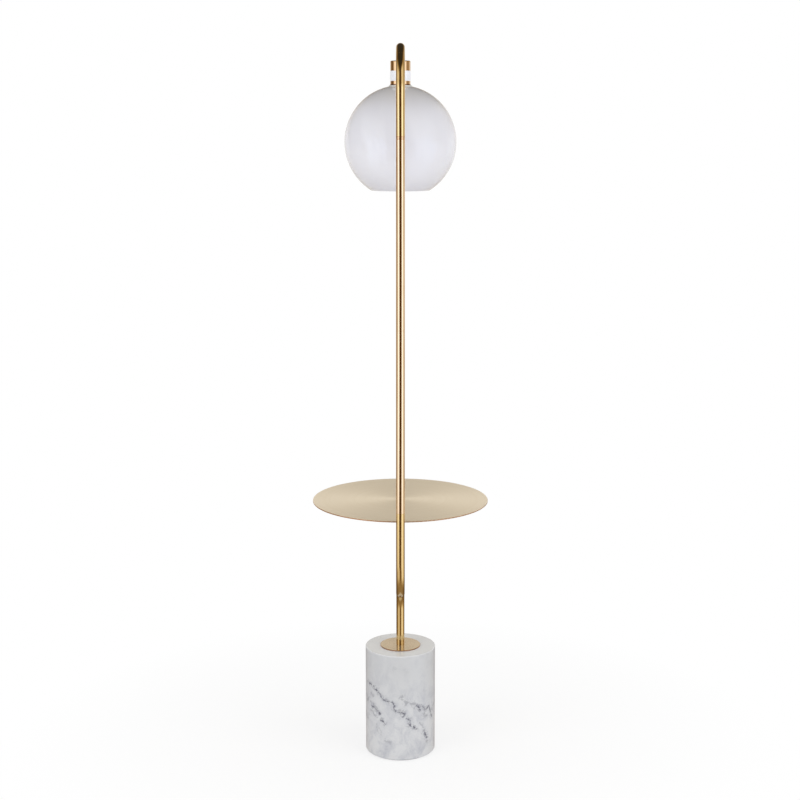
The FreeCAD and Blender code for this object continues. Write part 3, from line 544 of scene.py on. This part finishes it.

# %% [markdown]
# At the rolled lip of the cup the colour is painted deeper and redder: painted shade, standing
# in for the dark reflection that the rolled lip shows.

# %% Darken the lip of the cup
LIP_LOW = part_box("socket_cup")[0].z
LIP_FULL, LIP_END = 2.0 * MM, 3.2 * MM
# painted shade: the deep red-brown of the lip's dark reflection
LIP_PAINTED_SHADE = colour(150, 96, 62)

lip_shader = cup_brass.node_tree.nodes["Principled BSDF"]
cup_tint = lip_shader.inputs["Base Color"].links[0].from_socket
lip_height = add(cup_brass, "ShaderNodeSeparateXYZ", {0: place_on(cup_brass)}).outputs["Z"]
lip_shade_share = remap(cup_brass, lip_height, LIP_LOW + LIP_FULL, LIP_LOW + LIP_END, 1.0, 0.0)
wire(cup_brass, tint(cup_brass, lip_shade_share, cup_tint, LIP_PAINTED_SHADE), lip_shader, "Base Color")
print("lip darkened up to", round(LIP_END / MM, 1), "mm")

# %% [markdown]
# ## The turned table top
#
# The disc was brushed while it turned on a lathe, so its scratches are circles. Such a surface
# spreads a reflection across its scratches and not along them, which gives the pale fans to left
# and right and the greyer ones before and behind. Blender's shader does the same with its
# anisotropic setting, a tangent that runs round the axis, and a quarter turn of it.

# %% The recipe for turned brass
# painted shade: the brown of the disc's cut edge, for the dark room that it reflects
EDGE_PAINTED_SHADE = colour(168, 118, 80)
EDGE_FROM, EDGE_FULL = 0.35 * MM, 0.15 * MM
FINE_RINGS_PER_METRE, WIDE_RINGS_PER_METRE = 1680.0, 105.0


def turned_brass(name, edge, pale, deep, gloss, spread, metal):
    """Brass brushed in circles round the Z axis.

    edge is the disc's radius, and its cut edge is painted darker: painted shade for the dark room
    that the side of the disc reflects. gloss is the mean roughness and spread the shader's
    anisotropy. metal is the mirror's share: the rest is the haze of very fine scratches, which
    looks matte.
    """
    material, shader = new_finish(name, {
        "Metallic": metal, "Specular IOR Level": 0.3,
        "Anisotropic": spread, "Anisotropic Rotation": 0.25})
    split = add(material, "ShaderNodeSeparateXYZ", {0: place_on(material)}).outputs
    flat = add(material, "ShaderNodeCombineXYZ", {"X": split["X"], "Y": split["Y"]}).outputs[0]
    radius = add(material, "ShaderNodeVectorMath", {0: flat}, operation="LENGTH").outputs["Value"]
    across = add(material, "ShaderNodeCombineXYZ", {"X": radius, "Y": 0.0, "Z": 0.0}).outputs[0]
    fine = noise(material, across, FINE_RINGS_PER_METRE, 2.0, 0.6)
    wide = noise(material, across, WIDE_RINGS_PER_METRE, 3.0, 0.6)
    share = math_of(material, "ADD", math_of(material, "MULTIPLY", fine, 0.5),
                    math_of(material, "MULTIPLY", wide, 0.5))
    rim_painted_shade = remap(material, radius, edge - EDGE_FROM, edge - EDGE_FULL)
    face = tint(material, remap(material, share, 0.35, 0.65), pale, deep)
    wire(material, tint(material, rim_painted_shade, face, EDGE_PAINTED_SHADE), shader, "Base Color")
    wire(material, remap(material, fine, 0.3, 0.7, gloss - 0.03, gloss + 0.03),
         shader, "Roughness")
    tangent = add(material, "ShaderNodeTangent", direction_type="RADIAL", axis="Z").outputs[0]
    wire(material, tangent, shader, "Tangent")
    relief(material, shader, fine, 0.003 * MM, 0.3)
    return material


table_brass = turned_brass(
    "table_brass", TABLE_RADIUS, colour(248, 234, 208), colour(241, 225, 196), 0.36, 0.6, 0.42)
plate_brass = turned_brass(
    "plate_brass", PLATE_RADIUS, colour(214, 195, 166), colour(204, 184, 154), 0.2, 0.4, 0.8)
cover(table_brass, "table_top")
cover(plate_brass, "base_plate")

# %% [markdown]
# ## Marble
#
# Veins in marble are thin sheets of darker stone that run right through the block, so on a drum
# they show as bent lines. Each vein here is such a sheet: a plane through the stone, shaken by
# noise, with a dark core and a paler smudge round it, and only for part of its length. They are
# placed where the photograph has them, with bruised stone round them, and softer clouds of grey
# fill the stone between. The upper half of the drum is painted a little greyer, as painted shade,
# and its top is polished and painted whiter, as painted light.

# %% The veins, drawn on the drum
# each vein: its width in millimetres, its strength, and its course over the front of the drum as
# points of (turn from straight ahead in degrees, height in millimetres)
VEINS = [
    (1.3, 1.0, [(-71, 177), (-54, 174), (-46, 170), (-37, 163), (-34, 155), (-28, 146), (-20, 145),
                (-13, 142), (-9, 138), (-12, 130), (-7, 122), (1, 119), (8, 116), (2, 109)]),
    (2.4, 1.0, [(-48, 170), (-38, 164)]),
    (1.6, 0.8, [(-3, 123), (7, 123)]),
    (1.5, 1.0, [(10, 104), (16, 100), (14, 91), (21, 82), (28, 75)]),
    (1.0, 0.6, [(33, 92), (39, 80), (43, 68)]),
    (2.0, 1.0, [(43, 68), (49, 46)]),
    (1.6, 0.8, [(50, 40), (49, 33)]),
    (2.0, 0.8, [(2, 160), (4, 152)]),
    (2.0, 0.8, [(7, 149), (12, 141)]),
    (1.8, 0.7, [(17, 140), (25, 140)]),
    (2.2, 1.0, [(27, 134), (35, 120)]),
    (1.4, 0.9, [(37, 131), (45, 120), (43, 105)]),
    (1.6, 1.0, [(48, 116), (54, 124), (60, 106), (64, 92)]),
    (2.0, 0.7, [(-56, 156), (-51, 148)]),
    (2.0, 1.0, [(-56, 123), (-44, 120), (-34, 110)]),
    (1.2, 0.8, [(-58, 112), (-52, 109), (-48, 102), (-41, 98)]),
    (1.0, 0.5, [(-71, 100), (-59, 97)]),
    (1.8, 1.0, [(-35, 96), (-29, 93), (-25, 86)]),
    (1.1, 0.5, [(-44, 82), (-41, 67), (-33, 58)]),
    (1.0, 0.4, [(-37, 76), (-32, 64)]),
    (1.8, 0.5, [(-27, 48), (-20, 46), (-15, 43)]),
    (3.0, 0.3, [(-13, 229), (-8, 223)]),
    (2.6, 0.25, [(8, 225), (12, 216)]),
    (2.2, 0.25, [(41, 169), (46, 162)]),
    (1.2, 0.7, [(84, 150), (97, 139), (108, 143), (121, 128), (131, 131)]),
    (1.8, 0.8, [(92, 96), (101, 88), (112, 90)]),
    (1.3, 0.6, [(-86, 126), (-98, 117), (-112, 121), (-128, 104), (-143, 101)]),
]


def on_drum(turn, height):
    """The point of the drum's skin at a turn in degrees and a height in millimetres."""
    turn = math.radians(turn)
    return np.array([FOOT_RADIUS * math.sin(turn), -FOOT_RADIUS * math.cos(turn), height * MM])


print(sum(len(course) - 1 for _, _, course in VEINS), "vein sheets")

# %% One vein as a sheet through the stone
VEIN_FADE = 2.5 * MM
BRUISE_REACH = 17 * MM
# the smudge is so many times as wide as the vein
SMUDGE_WIDEN = 4.2


def vein_sheet(material, where, ragged, first, last, width, strength):
    """How dark one sheet is at a place, and how bruised the stone round it is, each 0 to 1.

    The sheet holds the line between its two ends and the line from there to the drum's axis.
    Beyond its ends it fades, and the ragged number widens and narrows it.
    """
    along = (last - first) / np.linalg.norm(last - first)
    middle = (first + last) / 2
    normal = np.cross(along, [middle[0], middle[1], 0.0])
    normal /= np.linalg.norm(normal)
    from_middle = add(material, "ShaderNodeVectorMath", {0: where, 1: tuple(middle)},
                      operation="SUBTRACT").outputs[0]
    off, on = (math_of(material, "ABSOLUTE", add(
        material, "ShaderNodeVectorMath", {0: from_middle, 1: tuple(axis)},
        operation="DOT_PRODUCT").outputs["Value"]) for axis in (normal, along))
    reach = float(np.linalg.norm(last - first)) / 2
    line = remap(material, math_of(material, "DIVIDE", off, ragged),
                 0.0, SMUDGE_WIDEN * width * MM, strength, 0.0)
    span = remap(material, on, reach, reach + VEIN_FADE, 1.0, 0.0, "SMOOTHSTEP")
    bruise = remap(material, off, 0.0, BRUISE_REACH, strength, 0.0, "SMOOTHSTEP")
    bruise_span = remap(material, on, reach, reach + BRUISE_REACH, 1.0, 0.0, "SMOOTHSTEP")
    return (math_of(material, "MULTIPLY", line, span),
            math_of(material, "MULTIPLY", bruise, bruise_span))


print("vein sheet ready")

# %% The recipe for veined marble
STONE_WHITE, STONE_CLOUD = colour(205, 206, 208), colour(176, 178, 186)
# painted shade for the greyer upper drum, and painted light for the whiter top face
STONE_PAINTED_SHADE, TOP_PAINTED_LIGHT = colour(188, 189, 191), colour(221, 223, 225)
VEIN_INK, VEIN_SHARE = colour(84, 84, 99), 0.9
# the core is where the sheet's number is above CORE_FROM, the smudge where it is lower
SMUDGE_FROM, SMUDGE_SHARE = 0.05, 0.38
CORE_FROM, CORE_TO = 0.66, 0.97
VEIN_SHAKE, SHAKES_PER_METRE = 13 * MM, 80.0
WIDENINGS_PER_METRE, NARROWEST, WIDEST = 150.0, 0.05, 1.9
STONE_CLOUDS_PER_METRE, CLOUD_LEAN = 30.0, math.radians(-50)
BRUISES_PER_METRE = 70.0
CRYSTALS_PER_METRE, CRYSTAL_SHARE = 300.0, 0.24
# the upper part, painted greyer as painted shade, as shares of the drum's height, and how much of
# that grey it takes
UPPER_FROM, UPPER_TO, UPPER_SHADE_SHARE = 0.40, 0.85, 0.7
# the polished top, also painted whiter as painted light, begins within these depths under the
# drum's highest point
TOP_DEPTH_FROM, TOP_DEPTH_TO, TOP_LIGHT_SHARE = 3 * MM, 0.5 * MM, 0.75
SIDE_ROUGHNESS, TOP_ROUGHNESS = 0.34, 0.15


def veined_marble():
    """White stone with soft clouds, a grain of crystals, and the sheets of VEINS through it."""
    material, shader = new_finish("veined_marble", {"IOR": 1.5, "Specular IOR Level": 0.5})
    plain = place_on(material)
    shake = add(material, "ShaderNodeTexNoise",
                {"Vector": plain, "Scale": SHAKES_PER_METRE, "Detail": 5.0,
                 "Roughness": 0.75}).outputs["Color"]
    shake = add(material, "ShaderNodeVectorMath", {0: shake, 1: (0.5, 0.5, 0.5)},
                operation="SUBTRACT").outputs[0]
    shaken = add(material, "ShaderNodeVectorMath", {0: shake, 1: (VEIN_SHAKE,) * 3},
                 operation="MULTIPLY").outputs[0]
    where = add(material, "ShaderNodeVectorMath", {0: plain, 1: shaken}).outputs[0]
    ragged = remap(material, noise(material, plain, WIDENINGS_PER_METRE, 4.0, 0.7),
                   0.42, 0.62, NARROWEST, WIDEST)
    ink = bruise = None
    for width, strength, course in VEINS:
        points = [on_drum(*point) for point in course]
        for first, last in zip(points, points[1:]):
            sheet, halo = vein_sheet(material, where, ragged, first, last, width, strength)
            ink = sheet if ink is None else math_of(material, "MAXIMUM", ink, sheet)
            bruise = halo if bruise is None else math_of(material, "MAXIMUM", bruise, halo)
    core = remap(material, ink, CORE_FROM, CORE_TO, 0.0, 1.0, "SMOOTHSTEP")
    smudge = remap(material, ink, SMUDGE_FROM, CORE_FROM, 0.0, SMUDGE_SHARE, "SMOOTHSTEP")
    ink = math_of(material, "MAXIMUM", core, smudge)
    lie = place_on(material, (1.0, 1.0, 0.8), (0.0, CLOUD_LEAN, 0.0))
    clouds = remap(material, noise(material, lie, STONE_CLOUDS_PER_METRE, 7.0, 0.7, 0.5),
                   0.42, 0.70)
    patchy = remap(material, noise(material, plain, BRUISES_PER_METRE, 5.0, 0.7),
                   0.36, 0.64, 0.05, 0.95)
    clouds = math_of(material, "MAXIMUM", clouds, math_of(material, "MULTIPLY", bruise, patchy))
    grain = remap(material, noise(material, plain, CRYSTALS_PER_METRE, 5.0, 0.8),
                  0.3, 0.7, -CRYSTAL_SHARE, CRYSTAL_SHARE)
    clouds = math_of(material, "ADD", clouds, grain)
    height = add(material, "ShaderNodeSeparateXYZ", {0: plain}).outputs["Z"]
    top = remap(material, height, FOOT_HIGH.z - TOP_DEPTH_FROM, FOOT_HIGH.z - TOP_DEPTH_TO)
    stone = tint(material, clouds, STONE_WHITE, STONE_CLOUD)
    upper = remap(material, height, UPPER_FROM * FOOT_HIGH.z, UPPER_TO * FOOT_HIGH.z,
                  0.0, UPPER_SHADE_SHARE)
    stone = tint(material, upper, stone, STONE_PAINTED_SHADE)
    stone = tint(material, math_of(material, "MULTIPLY", top, TOP_LIGHT_SHARE), stone, TOP_PAINTED_LIGHT)
    wire(material, tint(material, math_of(material, "MULTIPLY", ink, VEIN_SHARE), stone, VEIN_INK),
         shader, "Base Color")
    wire(material, remap(material, top, 0.0, 1.0, SIDE_ROUGHNESS, TOP_ROUGHNESS),
         shader, "Roughness")
    return material


cover(veined_marble(), "marble_base")

# %% [markdown]
# ## Opal glass
#
# Opal glass is clear glass with a milky body. Its skin mirrors softly like any glass, while the
# body lets light sink in a few millimetres and spreads it. Subsurface light does exactly that, and
# it works here because the CAD globe has its real three-millimetre wall. Towards its neck the
# globe's colour is painted greyer: painted shade for the darker top of the globe.

# %% The recipe for opal glass
# painted shade: from this share of the globe's height up to the neck the colour turns greyer
NECK_SHADE_FROM = 0.72
NECK_PAINTED_SHADE = colour(207, 205, 205)

opal, opal_shader = new_finish("opal_glass", {
    "Roughness": 0.06, "IOR": 1.5,
    "Subsurface Weight": 0.75, "Subsurface Radius": (1.0, 0.97, 0.94), "Subsurface Scale": 0.004})
thickness = noise(opal, place_on(opal), 9.0, 2.0, 0.4)
milk = tint(opal, remap(opal, thickness, 0.3, 0.7), colour(219, 219, 224), colour(215, 215, 221))
height = add(opal, "ShaderNodeSeparateXYZ", {0: place_on(opal)}).outputs["Z"]
neck_shade = remap(opal, height, GLOBE_LOW.z + NECK_SHADE_FROM * (GLOBE_HIGH.z - GLOBE_LOW.z), GLOBE_HIGH.z,
             0.0, 1.0, "SMOOTHSTEP")
wire(opal, tint(opal, neck_shade, milk, NECK_PAINTED_SHADE), opal_shader, "Base Color")
cover(opal, "glass_globe")

# %% [markdown]
# Light soaks through the wall to the inside of a real globe, which the subsurface setting does not
# carry that far. So the inner skin, told apart by its distance from the globe's centre, gets a
# faint glow.

# %% Let the light through to the inside
GLOBE_RADIUS = GLOBE_HIGH.x
# the mouth's radius in the CAD model, which no box tells
MOUTH_RADIUS = 66 * MM
GLOBE_CENTRE = GLOBE_LOW.z + math.sqrt(GLOBE_RADIUS ** 2 - MOUTH_RADIUS ** 2)
# depths under the outer skin between which the glow comes in
SKIN_DEEP, SKIN_SHALLOW = 2.2 * MM, 1.6 * MM
INNER_GLOW = 0.16

from_centre = add(opal, "ShaderNodeVectorMath", {0: place_on(opal), 1: (0.0, 0.0, GLOBE_CENTRE)},
                  operation="SUBTRACT").outputs[0]
from_centre = add(opal, "ShaderNodeVectorMath", {0: from_centre},
                  operation="LENGTH").outputs["Value"]
inside = remap(opal, from_centre, GLOBE_RADIUS - SKIN_DEEP, GLOBE_RADIUS - SKIN_SHALLOW,
               INNER_GLOW, 0.0)
opal_shader.inputs["Emission Color"].default_value = colour(247, 247, 250)
wire(opal, inside, opal_shader, "Emission Strength")
opal.cycles.emission_sampling = "NONE"
print("globe centre at", round(GLOBE_CENTRE, 4), "m")

# %% [markdown]
# Frosted glass is sandblasted: its grain scatters what would be a mirror.

# %% The recipe for frosted glass
frosted, frosted_shader = new_finish("frosted_glass", {
    "Roughness": 0.42, "IOR": 1.5, "Subsurface Weight": 0.5, "Subsurface Scale": 0.003})
grain = noise(frosted, place_on(frosted), 2600.0, 2.0, 0.6)
wire(frosted, tint(frosted, grain, colour(240, 240, 238), colour(232, 232, 230)),
     frosted_shader, "Base Color")
relief(frosted, frosted_shader, grain, 0.01 * MM, 0.5)
cover(frosted, "bulb_dome")

# %% [markdown]
# ## Plastic, rubber, foam and plated steel
#
# The small parts are plain, but none is one flat colour: moulded plastic has a faint flow in its
# gloss, rubber and foam have a grain that can be felt, and zinc has a mottled crystal look.

# %% The recipe for small plain parts
PATCHES_PER_METRE = 60.0


def plain_part(name, pale, deep, gloss, metal=0.0, grains=700.0, grain_depth=0.01):
    """Two near tints in patches, with a fine grain in gloss and relief.

    gloss is the mean roughness, grains the number of lumps per metre and grain_depth their
    depth in millimetres.
    """
    material, shader = new_finish(name, {"Metallic": metal})
    patch = noise(material, place_on(material), PATCHES_PER_METRE, 3.0, 0.6)
    fine = noise(material, place_on(material), grains, 3.0, 0.6)
    wire(material, tint(material, remap(material, patch, 0.35, 0.65), pale, deep),
         shader, "Base Color")
    wire(material, remap(material, fine, 0.3, 0.7, gloss - 0.05, gloss + 0.06),
         shader, "Roughness")
    relief(material, shader, fine, grain_depth * MM, 0.6)
    return material


print("recipe for plain parts ready")

# %% Cover the plain parts
cover(plain_part("band_white", colour(238, 239, 244), colour(228, 230, 238), 0.32), "cup_band")
cover(plain_part("silicone", colour(214, 216, 212), colour(204, 206, 202), 0.4),
      "upper_gasket", "lower_gasket")
cover(plain_part("white_plastic", colour(236, 236, 232), colour(228, 228, 224), 0.24),
      "holder_cap", "holder_body", "clamp_ring")
cover(plain_part("bulb_white", colour(240, 240, 240), colour(232, 232, 232), 0.34), "bulb_body")
cover(plain_part("rubber_black", colour(44, 44, 46), colour(32, 32, 34), 0.6, 0.0, 900.0, 0.03),
      "cord_grommet")
cover(plain_part("foam_black", colour(58, 58, 60), colour(40, 40, 42), 0.9, 0.0, 1400.0, 0.2),
      "floor_pad")
seam_pieces = [f"{seam}_seam_{piece}" for seam in ("lower", "middle", "collar")
               for piece in ("lower_plug", "upper_plug", "stud")]
cover(plain_part("zinc_plate", colour(206, 208, 212), colour(184, 187, 192), 0.3, 1.0, 500.0),
      "clamp_washer", "spring_washer", "base_nut", "tie_rod", "hang_nipple", "cup_locknut",
      "table_studs", "table_washers", "table_nuts", *seam_pieces)
cover(plain_part("nickel_plate", colour(216, 212, 204), colour(200, 196, 188), 0.22, 1.0, 500.0),
      "screw_shell", "centre_contact", "terminal_screws", "bulb_cap")
cover(plain_part("glass_insulator", colour(30, 30, 34), colour(22, 22, 26), 0.12),
      "bulb_tip_insulator")

# %% [markdown]
# ## Threads and the split washer
#
# The CAD model has plain rods where the real lamp has threads. A thread is a radius that depends
# on height and turn at once, so one formula makes all of them: the fraction of the pitch that a
# point has climbed decides how far it stands out. The spring washer under the foot is one turn
# of square wire, cut through on the slant.

# %% Cut the threads
POINTS_ROUND = 96
ROWS_PER_PITCH = 16
# a thread's root stands this far off the rod, and its hidden inner wall lies this deep in it
ROOT_LIFT, WALL_DEPTH = 0.02 * MM, 0.1 * MM


def thread(name, radius, low, high, pitch, depth, body, finish):
    """A screw thread round the lamp's axis, between the heights low and high, in metres.

    At turn a and height z the radius is radius + depth * ridge(f), where f is the fraction
    z / pitch - a / (2 pi), less its whole part, and ridge(f) = (0.5 - 0.5 cos(2 pi f)) ** 0.7.
    At both ends the ridge dies out over half a pitch, as a thread does where the tool ran out.
    Two more rows go back inside the rod, so that the thread is a closed ring.
    """
    rows = max(8, int(ROWS_PER_PITCH * (high - low) / pitch))
    turn, height = np.meshgrid(np.linspace(0, 2 * np.pi, POINTS_ROUND, endpoint=False),
                               np.linspace(low, high, rows))
    climbed = height / pitch - turn / (2 * np.pi)
    ridge = (0.5 - 0.5 * np.cos(2 * np.pi * climbed)) ** 0.7
    fade = np.clip(np.minimum(height - low, high - height) / (0.5 * pitch), 0, 1)
    out = radius + ROOT_LIFT + depth * ridge * fade
    turn, height = (np.vstack([grid, grid[-1:], grid[:1]]) for grid in (turn, height))
    out = np.vstack([out, np.full((2, POINTS_ROUND), radius - WALL_DEPTH)])
    piece = grid_object(name, np.stack([out * np.cos(turn), out * np.sin(turn), height], -1),
                        round_rows=True, round_columns=True)
    weld(piece)
    piece.data.materials.append(finish)
    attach(piece, body)
    return piece


def finish_of(node):
    """The finish that the CAD node wears."""
    return NODES[node].data.materials[0]


SKIRT_PITCH, SKIRT_RIDGE = 2.5 * MM, 0.55 * MM
SKIRT_LOW, SKIRT_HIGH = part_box("holder_body")
RING_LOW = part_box("clamp_ring")[0].z
skirt_thread = thread("holder_skirt_thread", SKIRT_HIGH.x, SKIRT_LOW.z + 0.8 * MM,
                      RING_LOW - 0.2 * MM, SKIRT_PITCH, SKIRT_RIDGE, "lamp",
                      finish_of("holder_body"))

ROD_PITCH, ROD_RIDGE = 1.0 * MM, 0.25 * MM
ROD_LOW, ROD_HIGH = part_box("tie_rod")
NUT_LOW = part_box("base_nut")[0].z
rod_thread = thread("tie_rod_thread", ROD_HIGH.x, ROD_LOW.z + 0.3 * MM,
                    NUT_LOW - 0.1 * MM, ROD_PITCH, ROD_RIDGE, "lamp", finish_of("tie_rod"))
print("threads on the lampholder skirt and the tie rod")

# %% Wind the split washer
WASHER_LOW, WASHER_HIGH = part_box("spring_washer")
WASHER_BORE = ROD_HIGH.x + 0.35 * MM
WASHER_PLAY = 0.02 * MM
# half the cut and its slant, as turns in radians
SPLIT_HALF, SPLIT_SLANT = 0.07, 0.10
STEPS_ALONG, POINTS_ROUND_WIRE = 121, 32
SQUARENESS = 0.25


def split_washer(name, bore, outer, low, high):
    """One flattened turn of square wire with a slanted cut.

    Round the wire, the angle b gives a square with soft corners: half the wire's width times
    |cos b| ** SQUARENESS and half its height times |sin b| ** SQUARENESS, each with its sign.
    Round the washer, the turn runs from one side of the cut to the other and leans with height by
    SPLIT_SLANT. The first and last row lie at the turn of their neighbours and shrink to the
    wire's middle, which closes the ends.
    """
    share = np.linspace(0, 1, STEPS_ALONG)[:, None]
    round_wire = np.linspace(0, 2 * np.pi, POINTS_ROUND_WIRE, endpoint=False)[None, :]
    size = np.ones_like(share)
    size[0] = size[-1] = 0.0
    share[1], share[-2] = share[0], share[-1]

    def squared(wave):
        return np.sign(wave) * np.abs(wave) ** SQUARENESS

    side, up = size * squared(np.cos(round_wire)), size * squared(np.sin(round_wire))
    turn = SPLIT_HALF + share * (2 * np.pi - 2 * SPLIT_HALF) + SPLIT_SLANT * up
    radius = (bore + outer) / 2 + (outer - bore) / 2 * side
    height = (low + high) / 2 + (high - low) / 2 * up
    piece = grid_object(name, np.stack([radius * np.sin(turn), -radius * np.cos(turn), height], -1),
                        round_columns=True, smooth=False)
    weld(piece)
    return piece


washer = split_washer("split_spring_washer", WASHER_BORE, WASHER_HIGH.x,
                      WASHER_LOW.z + WASHER_PLAY, WASHER_HIGH.z - WASHER_PLAY)
washer.data.materials.append(finish_of("spring_washer"))
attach(washer, "lamp")
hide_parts("spring_washer")
print("split washer", round(2 * WASHER_HIGH.x / MM, 1), "mm across")
